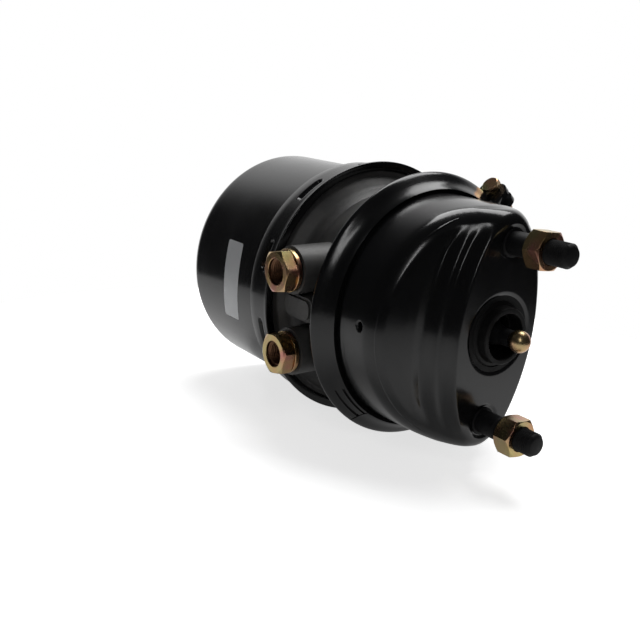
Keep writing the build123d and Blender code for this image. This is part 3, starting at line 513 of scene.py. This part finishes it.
def drill_drain(cup):
    """Cut the drain hole: a countersunk pin, along a nearly level way out through the side, taken away."""
    out = Vector((0, math.cos(math.radians(DRAIN_ANGLE)), math.sin(math.radians(DRAIN_ANGLE))))
    along, radius = round_rows([(DRAIN_INNER, 0), (DRAIN_INNER, DRAIN_R), (DRAIN_SINK, DRAIN_R),
                                (DRAIN_OUTER, DRAIN_R + DRAIN_CHAMFER), (DRAIN_OUTER, 0)], DRAIN_SIDES)
    pin = about(along, radius, ring_turns(DRAIN_SIDES), (DRAIN_X, 0, 0), out, out.orthogonal().normalized())
    cutter = bpy.data.objects.new("drain_cutter", grid_mesh("drain_cutter", pin))
    bpy.context.collection.objects.link(cutter)
    cut = cup.modifiers.new("drain", "BOOLEAN")
    cut.operation, cut.object, cut.solver = "DIFFERENCE", cutter, "EXACT"
    bpy.context.view_layer.update()
    drilled = bpy.data.meshes.new_from_object(cup.evaluated_get(bpy.context.evaluated_depsgraph_get()))
    cup.modifiers.clear()
    cup.data = drilled
    bpy.data.objects.remove(cutter)


housing_skin = piece("front_housing_skin", cup_mesh(), stoved_black, "housing", 40)
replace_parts(housing_skin, "front_housing")
drill_drain(housing_skin)
dress(stoved_black, "stud_brace")

# Spring pot: one deep drawn steel pot with a collar and a flared lip round its mouth, and long round-ended
# tabs punched in round the collar that lock the casting in. Same black paint.
POT_R, POT_WALL, POT_REAR, POT_DISH, DISH_R, DISH_RUN, BUSH_R = 89.0, 3.0, -260.0, -255.0, 34.0, 8.0, 14.0
MOUTH_X, MOUTH_BORE_R, SEAT_X, LIP_R, LIP_RUN, LIP_W = -131.0, 91.2, -155.3, 97.3, 3.6, 1.6
POT_COLLAR_X, POT_COLLAR_R, COLLAR_RUN, COLLAR_RISE = -158.3, 93.8, 1.2, 0.2
TAB_COUNT, TAB_FIRST, TAB_L, TAB_W, TAB_DEPTH, TAB_X = 10, 94.0, 23.0, 5.4, 2.0, -145.6
TAB_SPAN, TAB_STEP, TAB_RIM, TAB_FLOOR, POT_STEP, POT_AROUND = 5.5, 0.5, 0.5, 0.9, 6.0, 600
BACK_ROUNDS, FRONT_ROUNDS = {1: 3, 2: 3, 3: 10, 4: 0.5, 5: 0.8}, {1: 1.5, 2: 0.7, 3: 0.7, 4: 0.8, 7: 7}


def pot_mesh():
    """Pot by rows of (distance, radius), pressed in where a point lies within a tab's outline, the distance
    from its middle line being taken along the collar and round it."""
    top = POT_COLLAR_R + COLLAR_RISE
    back = rounded_path([(POT_DISH, BUSH_R), (POT_DISH, DISH_R), (POT_REAR, DISH_R + DISH_RUN),
                         (POT_REAR, POT_R), (POT_COLLAR_X - COLLAR_RUN, POT_R), (POT_COLLAR_X, POT_COLLAR_R),
                         (TAB_X - TAB_SPAN - TAB_STEP, top)], BACK_ROUNDS, POT_STEP)
    tabs = [(x, top) for x in np.arange(TAB_X - TAB_SPAN, TAB_X + TAB_SPAN + 0.1, TAB_STEP)]
    floor, inner = POT_REAR + POT_WALL, POT_R - POT_WALL
    front = rounded_path([(TAB_X + TAB_SPAN + TAB_STEP, top), (MOUTH_X - LIP_RUN, top + 2 * COLLAR_RISE),
                          (MOUTH_X - LIP_W, LIP_R), (MOUTH_X, LIP_R), (MOUTH_X, MOUTH_BORE_R),
                          (SEAT_X, MOUTH_BORE_R), (SEAT_X, inner), (floor, inner),
                          (floor, DISH_R + DISH_RUN + POT_WALL / 2),
                          (POT_DISH + POT_WALL, DISH_R + POT_WALL / 2), (POT_DISH + POT_WALL, BUSH_R)],
                         FRONT_ROUNDS, POT_STEP)
    x, r = round_rows(np.concatenate([back, tabs, front]), POT_AROUND)
    turn = ring_turns(POT_AROUND)
    pitch = 2 * np.pi / TAB_COUNT
    round_way = ((turn - math.radians(TAB_FIRST) + pitch / 2) % pitch - pitch / 2) * POT_COLLAR_R
    off = np.hypot(np.clip(np.abs(round_way) - (TAB_L - TAB_W) / 2, 0, None), x - TAB_X)
    pressed = TAB_DEPTH * ramp_between(off, TAB_W / 2 + TAB_RIM, TAB_W / 2 - TAB_FLOOR)
    return grid_mesh("spring_pot_skin", about(x, r - np.where(r > POT_COLLAR_R, pressed, 0), turn), True)


pot_skin = piece("spring_pot_skin", pot_mesh(), stoved_black, "housing", 40)
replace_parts(pot_skin, "spring_pot")

# Studs: M16 pressed steel, phosphated matt black, their heads on the brace inside the housing. Each has a
# plain shank from the face, then a rolled thread to the chamfered point.
STUD_R, STUD_REACH, STUD_POINT, THREAD_START, THREAD_PITCH, THREAD_DEPTH = 8.0, 46.0, 2.0, 14.0, 1.5, 0.75
HEAD_R, HEAD_H, HEAD_EDGE, BRACE_BACK, KNURL_R, SHANK_FOOT_R = 11.5, 4.5, 0.6, -9.0, 8.5, 9.6
THREAD_ROW, THREAD_TOP, THREAD_SLOPE, THREAD_RUN_IN, THREAD_RUN_OUT = 0.11, 1.25, 3.0, 2.0, (1.6, -0.2)
STUD_AROUND = 72


def phosphated():
    """Matt black phosphate: near-black, rough, with fine crystals."""
    material, tree = material_tree("phosphated_black")
    fine = grain(tree, 2400, 3)
    return surface(material, tree, Roughness=spread(tree, fine, 0.48, 0.62), Specular_IOR_Level=0.18,
                   Base_Color=between(tree, fine, (0.004, 0.004, 0.0045, 1), (0.011, 0.011, 0.0115, 1)),
                   Normal=raised(tree, fine, 0.1, 0.0002))


def thread_wave(distance, turn, pitch):
    """Depth of a rolled thread, 0 at the crest and 1 at the root: a flat-topped triangle wave of a helix."""
    phase = (distance / pitch - turn / (2 * np.pi)) % 1.0
    return np.clip(THREAD_TOP - np.abs(phase - 0.5) * THREAD_SLOPE, 0, 1)


def stud_mesh(name, height):
    """Stud as one grid: rows along the push axis, radius by row, less the thread's depth where it is cut."""
    head, low, tip = BRACE_BACK - HEAD_H, -DIMPLE_DEPTH, STUD_REACH - STUD_POINT
    plain = [(head, 0), (head, HEAD_R - HEAD_EDGE), (head + HEAD_EDGE, HEAD_R), (BRACE_BACK, HEAD_R),
             (BRACE_BACK, KNURL_R), (low, KNURL_R), (low, SHANK_FOOT_R), (-0.5, SHANK_FOOT_R),
             (-0.3, SHANK_FOOT_R - 0.2), (-0.3, STUD_R), (THREAD_START, STUD_R)]
    cut = [(x, STUD_R) for x in np.arange(THREAD_START, tip, THREAD_PITCH * THREAD_ROW)]
    point = [(tip, STUD_R), (STUD_REACH - 0.15, STUD_R - STUD_POINT + 0.15),
             (STUD_REACH, STUD_R - STUD_POINT - 0.2), (STUD_REACH, 0)]
    x, r = round_rows(plain + cut + point, STUD_AROUND)
    turn = ring_turns(STUD_AROUND)
    started = ramp_between(x, THREAD_START, THREAD_START + THREAD_RUN_IN)
    ended = ramp_between(x, tip + THREAD_RUN_OUT[0], tip + THREAD_RUN_OUT[1])
    depth = THREAD_DEPTH * thread_wave(x, turn, THREAD_PITCH) * started * ended
    return grid_mesh(name, about(x, r - np.where(r == STUD_R, depth, 0), turn, (0, 0, height)))


phosphate = phosphated()
for name, height in (("upper_stud", STUD_PITCH / 2), ("lower_stud", -STUD_PITCH / 2)):
    stud = piece(name, stud_mesh(name, height), phosphate, "housing", 50)
    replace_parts(stud, "mounting_studs")

# Nuts on the studs: M16 hexagons, chamfered both sides and tapped, yellow zinc plated, run part way down.
# The plating leaves their edges slightly round.
NUT_FLATS, NUT_H, NUT_CHAMFER, NUT_BORE_R, NUT_MOUTH_R, NUT_MOUTH_H = 24.0, 13.0, 1.4, 8.05, 8.6, 0.7
UPPER_NUT_BACK, LOWER_NUT_BACK, NUT_EDGE, NUT_AROUND = 17.0, 20.4, 0.3, 96
HEX_FACE_IN, HEX_CORNER_OUT, SHARP_TURN = 0.2, 0.1, 0.5


def hexagon_radius(turn, flats, start):
    """Distance to a hexagon's side at an angle: the flat's distance over the cosine from its middle."""
    return flats / 2 / np.cos((turn - start) % (np.pi / 3) - np.pi / 6)


def hexagon_rows(turn, flats, start, low, high, chamfer):
    """Four rows round a hexagon: the turned end, where the chamfer's cone meets the sides, and both above."""
    r = hexagon_radius(turn, flats, start)
    flat = flats / 2 - HEX_FACE_IN
    corner = flats / 2 / math.cos(math.pi / 6) + HEX_CORNER_OUT
    drop = chamfer * (r - flat) / (corner - flat)
    full = np.ones_like(turn)
    along = np.stack([low * full, low + drop, high - drop, high * full])
    return along, np.stack([flat * full, r, r, flat * full])


def nut_mesh(name, back, height):
    """Nut as one closed grid: round the outside by the hexagon's rows and back through the bore."""
    turn = ring_turns(NUT_AROUND)
    front = back + NUT_H
    hex_x, hex_r = hexagon_rows(turn, NUT_FLATS, 0, back, front, NUT_CHAMFER)
    bore_x, bore_r = round_rows([(front, NUT_MOUTH_R), (front - NUT_MOUTH_H, NUT_BORE_R),
                                 (back + NUT_MOUTH_H, NUT_BORE_R), (back, NUT_MOUTH_R)], NUT_AROUND)
    x, r = np.concatenate([hex_x, bore_x]), np.concatenate([hex_r, bore_r])
    return grid_mesh(name, about(x, r, turn, (0, 0, height)), True)


def soften(thing, width):
    """Small rounded edges, as plating leaves them."""
    bevel = thing.modifiers.new("edges", "BEVEL")
    bevel.width, bevel.segments, bevel.limit_method, bevel.angle_limit = width * MM, 2, "ANGLE", SHARP_TURN


for name, back, height in (("upper_nut", UPPER_NUT_BACK, STUD_PITCH / 2),
                           ("lower_nut", LOWER_NUT_BACK, -STUD_PITCH / 2)):
    nut = piece(name, nut_mesh(name, back, height), plating, "housing", 20)
    soften(nut, NUT_EDGE)
    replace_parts(nut, "stud_nuts")

# Face seal in the front housing's hole, and the seals inside: moulded black rubber, pressed or sprung into
# their seats. The rubber is dull, with a dusty bloom.


def moulded_rubber():
    """Dull black rubber with a dusty bloom."""
    material, tree = material_tree("moulded_rubber")
    dust = grain(tree, 160, 4)
    return surface(material, tree, Roughness=spread(tree, dust, 0.50, 0.64), Specular_IOR_Level=0.2,
                   Base_Color=between(tree, dust, (0.003, 0.003, 0.003, 1), (0.007, 0.007, 0.007, 1)),
                   Normal=raised(tree, grain(tree, 1300, 2), 0.08, 0.0002))


rubber = moulded_rubber()
dress(rubber, "face_seal", "adapter_o_ring", "push_tube_seals", "port_seals", "piston_seal")

# Push rod, plate and ball, the piston and its tube, the release bolt, the boot's clip and the rear spring's
# seat: bare or plated metal, turned or pressed but for the cast piston. The rod is phosphated dark, the ball
# yellow zinc, the tube ground, the piston dull, and the rest bright zinc.
STREAK_SHADE = 0.86


def bright_steel(name, colour, low, high):
    """Turned or plated bare metal: streaks round the push axis in its gloss."""
    material, tree = material_tree(name)
    streak = grain(tree, 260, 2, (6, 1, 1))
    tint = (colour[0] * STREAK_SHADE, colour[1] * STREAK_SHADE, colour[2] * STREAK_SHADE, 1)
    return surface(material, tree, Roughness=spread(tree, streak, low, high), Metallic=1.0,
                   Base_Color=between(tree, streak, tint, colour), Normal=raised(tree, streak, 0.04, 0.0002))


bright_zinc = bright_steel("bright_zinc", (0.62, 0.63, 0.64, 1), 0.24, 0.38)
dress(phosphate, "push_rod")
dress(bright_zinc, "push_plate", "boot_clip", "rear_spring_seat", "release_bolt", "release_bolt_collar")
dress(bright_steel("ground_tube", (0.70, 0.71, 0.72, 1), 0.12, 0.22), "push_tube")
dress(bright_steel("cast_piston", (0.55, 0.56, 0.57, 1), 0.38, 0.52), "spring_piston")
dress(plating, "ball_end")

# Port fittings: steel hexagon fittings in yellow zinc, screwed into the casting's bosses, with a counterbored
# M16 thread. Inside the mouth and the bore they are painted a darker brown: painted shade in the hole.
PORT_TILT, PORT_X, PORT_SPAN, PORT_FACE = math.radians(5.5), -107.0, 58.0, 105.5
PORT_FLATS, PORT_TURN, HEX_H, HEX_CHAMFER = 27.0, 12.0, 9.0, 1.2
COLLAR_R, COLLAR_H, COLLAR_EDGE = 14.8, 3.2, 0.3
BORE_R, BORE_LEN, MOUTH_R, MOUTH_DEPTH, SHANK_R, SHANK_LEN, WAY_R = 7.25, 20.0, 9.1, 2.0, 11.0, 16.9, 5.0
SHANK_CHAMFER, MOUTH_CHAMFER, MOUTH_TAPER, MOUTH_STEP = 1.0, 0.3, 0.2, 0.4
FITTING_AROUND, FITTING_EDGE, SHADE_GAP = 96, 0.25, 0.05
port_out = np.array([0, -math.cos(PORT_TILT), -math.sin(PORT_TILT)])
port_side = np.array([0, -math.sin(PORT_TILT), math.cos(PORT_TILT)])


def painted_bore_shade():
    """Dull coppery brown, painted shade for the inside of a fitting's bore."""
    material, tree = material_tree("painted_bore_shade")
    haze = grain(tree, 300, 2)
    return surface(material, tree, Roughness=spread(tree, haze, 0.30, 0.45), Metallic=1.0,
                   Base_Color=between(tree, haze, (0.10, 0.050, 0.028, 1), (0.20, 0.105, 0.060, 1)))


def fitting_mesh(name, place):
    """Fitting as one closed grid about its own axis: shank, collar, hexagon, mouth, thread and air way."""
    turn = ring_turns(FITTING_AROUND)
    step, mouth_floor, bore_floor = PORT_FACE - HEX_H, PORT_FACE - MOUTH_DEPTH, PORT_FACE - BORE_LEN
    base = step - COLLAR_H
    shank = base - SHANK_LEN
    low = round_rows([(shank, WAY_R), (shank, SHANK_R - SHANK_CHAMFER), (shank + SHANK_CHAMFER, SHANK_R),
                      (base, SHANK_R), (base, COLLAR_R - COLLAR_EDGE), (base + COLLAR_EDGE, COLLAR_R),
                      (step - COLLAR_EDGE, COLLAR_R), (step, COLLAR_R - COLLAR_EDGE)], FITTING_AROUND)
    hexagon = hexagon_rows(turn, PORT_FLATS, math.radians(PORT_TURN), step, PORT_FACE, HEX_CHAMFER)
    mouth = round_rows([(PORT_FACE, MOUTH_R + MOUTH_CHAMFER), (PORT_FACE - MOUTH_CHAMFER, MOUTH_R),
                        (mouth_floor, MOUTH_R - MOUTH_TAPER), (mouth_floor - MOUTH_STEP, BORE_R + 0.7)],
                       FITTING_AROUND)
    rows = np.arange(mouth_floor - 0.5, bore_floor + 1.5, -THREAD_PITCH * THREAD_ROW)[:, None] + 0 * turn
    thread = rows, BORE_R + THREAD_DEPTH - THREAD_DEPTH * thread_wave(rows, -turn, THREAD_PITCH)
    end = round_rows([(bore_floor, BORE_R), (bore_floor, WAY_R)], FITTING_AROUND)
    along, radius = (np.concatenate(part) for part in zip(low, hexagon, mouth, thread, end))
    return grid_mesh(name, about(along, radius, turn, place, port_out, (1, 0, 0)), True)


# Darker brown for the faces inside the fittings' bores: painted shade in the holes.
bore_shade = painted_bore_shade()
for port, side in (("service", 1), ("spring", -1)):
    centre = np.array([PORT_X, 0, 0]) + port_side * (side * PORT_SPAN / 2)
    shape = fitting_mesh(port + "_fitting", centre)
    fitting = piece(port + "_fitting", shape, plating, "housing", 22)
    shape.materials.append(bore_shade)
    middles = np.empty(len(shape.polygons) * 3, np.float32)
    shape.polygons.foreach_get("center", middles)
    off = middles.reshape(-1, 3) / MM - centre
    radial = np.linalg.norm(off - (off @ port_out)[:, None] * port_out, axis=1)
    # Faces nearer the axis than the mouth take the darker brown: painted shade.
    shape.polygons.foreach_set("material_index", (radial < MOUTH_R - SHADE_GAP).astype(np.int32))
    soften(fitting, FITTING_EDGE)
    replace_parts(fitting, port + "_port_fitting")

# Bush of the push tube, the piston's guide ring and the thrust pad: moulded in natural nylon and pressed or
# sprung into place.


def natural_nylon():
    """Cream nylon, waxy, with a faint flow mottle."""
    material, tree = material_tree("natural_nylon")
    flow = grain(tree, 90, 3, (1, 1, 3))
    return surface(material, tree, Roughness=spread(tree, flow, 0.38, 0.5),
                   Base_Color=between(tree, flow, (0.60, 0.56, 0.45, 1), (0.70, 0.67, 0.56, 1)),
                   Normal=raised(tree, flow, 0.05, 0.0003))


dress(natural_nylon(), "push_tube_bush", "piston_guide_ring", "thrust_pad")

# Springs: round wire, coiled and black coated, one conical in the front cup and a heavy one in the pot.
RETURN_START, RETURN_END, RETURN_BIG, RETURN_SMALL, RETURN_WIRE = -79.9, -11.1, 43.5, 28.0, 2.1
POWER_START, POWER_END, POWER_BIG, POWER_SMALL, POWER_WIRE = -249.1, -192.4, 53.9, 34.0, 6.4
COIL_TURNS, COIL_STEPS, WIRE_SIDES = 4.25, 40, 20


def coil_mesh(name, start, end, big, small, wire):
    """Tube of round section along a conical helix: place = (x, R cos, R sin), with R falling evenly from big
    to small. The section stands across the path, on the radial way and the way square to it."""
    share = np.linspace(0, 1, int(COIL_TURNS * COIL_STEPS))
    angle = share * COIL_TURNS * 2 * np.pi
    path = about(start + (end - start) * share, big + (small - big) * share, angle)
    way = np.gradient(path, axis=0)
    way /= np.linalg.norm(way, axis=1, keepdims=True)
    second = np.cross(way, np.stack([0 * angle, np.cos(angle), np.sin(angle)], -1))
    second /= np.linalg.norm(second, axis=1, keepdims=True)
    first = np.cross(second, way)
    turn = ring_turns(WIRE_SIDES)[:, None]
    tube = path[:, None] + wire * (np.cos(turn) * first[:, None] + np.sin(turn) * second[:, None])
    ends = np.repeat(path[[0, -1], None], WIRE_SIDES, 1)
    return grid_mesh(name, np.concatenate([ends[:1], tube, ends[1:]]))


def blended_piece(name, mesh, material, node):
    """Piece on no body, in place of a CAD node, with its placing baked into its mesh."""
    thing = piece(name, mesh, material, None, 40)
    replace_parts(thing, node)
    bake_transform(thing)


return_shape = coil_mesh("return_coil", RETURN_START, RETURN_END, RETURN_BIG, RETURN_SMALL, RETURN_WIRE)
return_coil = piece("return_coil", return_shape, phosphate, "housing")
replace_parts(return_coil, "return_spring")
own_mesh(return_coil)
power_shape = coil_mesh("power_coil", POWER_START, POWER_END, POWER_BIG, POWER_SMALL, POWER_WIRE)
blended_piece("power_coil", power_shape, phosphate, "power_spring")

# Boot and service diaphragm: moulded rubber skins. The boot's cuff rides on the rod, and the diaphragm's skin
# runs from the casting's dish out towards the front cup.
BOOT_BACK, BOOT_FRONT, BOOT_MOUTH, BOOT_FOLDS, BOOT_WALL, FOLD_ROUND = -75.0, -9.4, -4.4, 6, 1.2, 0.9
BOOT_OUT, BOOT_IN, BOOT_FOOT_R, BOOT_STEP, BOOT_AROUND = 17.5, 11.5, 14.2, 1.5, 96
CUFF_R, CUFF_BACK = 8.1, -81.0
DISH_BACK, DISH_FLAT_R, DISH_TOP_X, DISH_TOP_R = -89.6, 63.0, -84.4, 73.2
BEAD_BACK, BEAD_X, BEAD_R, FLAP_X, FLAP_R = -77.9, -77.6, 80.1, -77.7, 90.8
RUBBER_WALL, SKIN_ROUNDS, SKIN_STEP, SKIN_AROUND, FLAT_SPAN = 1.35, {1: 6, 2: 5, 3: 1.2}, 2.5, 120, 3.0


def turned_skin(name, path, wall, around):
    """Closed skin turned round the push axis: a path of (x, radius) and the same path a wall further out."""
    way = np.gradient(path, axis=0)
    way /= np.linalg.norm(way, axis=1, keepdims=True)
    outer = path + np.stack([-way[:, 1], way[:, 0]], -1) * wall
    x, r = round_rows(np.concatenate([path, outer[::-1]]), around)
    return grid_mesh(name, about(x, np.clip(r, 0, None), ring_turns(around)), True)


fold = (BOOT_FRONT - BOOT_BACK) / (2 * BOOT_FOLDS)
folds = [(BOOT_BACK + k * fold, BOOT_OUT if k % 2 else BOOT_IN) for k in range(1, 2 * BOOT_FOLDS)]
cuff_shape = turned_skin("boot_cuff", [(CUFF_BACK, CUFF_R), (BOOT_BACK, CUFF_R)], BOOT_WALL, BOOT_AROUND)
cuff = piece("boot_cuff", cuff_shape, rubber, "service_pushrod", 60)
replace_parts(cuff, "pushrod_boot")
boot_corners = [(BOOT_BACK, CUFF_R), (BOOT_BACK + BOOT_WALL, CUFF_R), *folds, (BOOT_FRONT, BOOT_FOOT_R),
                (BOOT_MOUTH, BOOT_FOOT_R)]
boot_path = rounded_path(boot_corners, {k: FOLD_ROUND for k in range(1, len(boot_corners) - 1)}, BOOT_STEP)
boot_shape = turned_skin("rod_boot", boot_path, BOOT_WALL, BOOT_AROUND)
boot = piece("rod_boot", boot_shape, rubber, "housing", 60)
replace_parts(boot, "pushrod_boot")
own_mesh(boot)
skin_path = rounded_path([(DISH_BACK, 0), (DISH_BACK, DISH_FLAT_R), (DISH_TOP_X, DISH_TOP_R),
                          (BEAD_X, BEAD_R), (FLAP_X, FLAP_R)], SKIN_ROUNDS, SKIN_STEP)
skin_shape = turned_skin("diaphragm_skin", skin_path, -RUBBER_WALL, SKIN_AROUND)
blended_piece("diaphragm_skin", skin_shape, rubber, "service_diaphragm")

# Rating plate on the pot: a blank silver foil label, its corners rounded, stuck round the pot's side.
LABEL_R, LABEL_X, LABEL_LONG, LABEL_TURN, LABEL_SPAN = 89.08, -199.0, 21.0, 184.8, 20.0
LABEL_SLANT, LABEL_BOW, LABEL_CORNER, LABEL_SINK, LABEL_RISE = -1.6, 4.0, 0.10, 0.2, 0.05
LABEL_ROWS, LABEL_COLUMNS = 41, 13


def label_mesh():
    """Thin curved plate as one closed grid over the distance along the pot and the angle round it, with a
    skew. Each ring runs out over the top layer and back over the bottom one."""
    u, v = np.meshgrid(np.linspace(-1, 1, LABEL_COLUMNS), np.linspace(-1, 1, LABEL_ROWS))
    corner = LABEL_CORNER / 3
    reach = 1 - LABEL_CORNER * np.clip(np.abs(v) - (1 - corner), 0, None) / corner
    x = LABEL_X + u * reach * LABEL_LONG / 2 + v * LABEL_SLANT + LABEL_BOW * (1 - v * v)
    angle = np.radians(LABEL_TURN + v * LABEL_SPAN)
    bottom, top = (about(x, np.full_like(x, LABEL_R + lift), angle) for lift in (-LABEL_SINK, LABEL_RISE))
    rings = np.concatenate([top, bottom[:, ::-1]], 1)
    closed = np.concatenate([bottom, bottom[:, ::-1]], 1)
    return grid_mesh("rating_label", np.concatenate([closed[:1], rings, closed[-1:]]))


def silver_foil():
    """Matt silver film with a soft mottle."""
    material, tree = material_tree("silver_foil")
    haze = grain(tree, 120, 3)
    return surface(material, tree, Roughness=spread(tree, haze, 0.32, 0.45), Metallic=0.1,
                   Base_Color=between(tree, haze, (0.60, 0.61, 0.62, 1), (0.70, 0.71, 0.72, 1)),
                   Normal=raised(tree, haze, 0.05, 0.0002))


piece("rating_label", label_mesh(), silver_foil(), "housing")
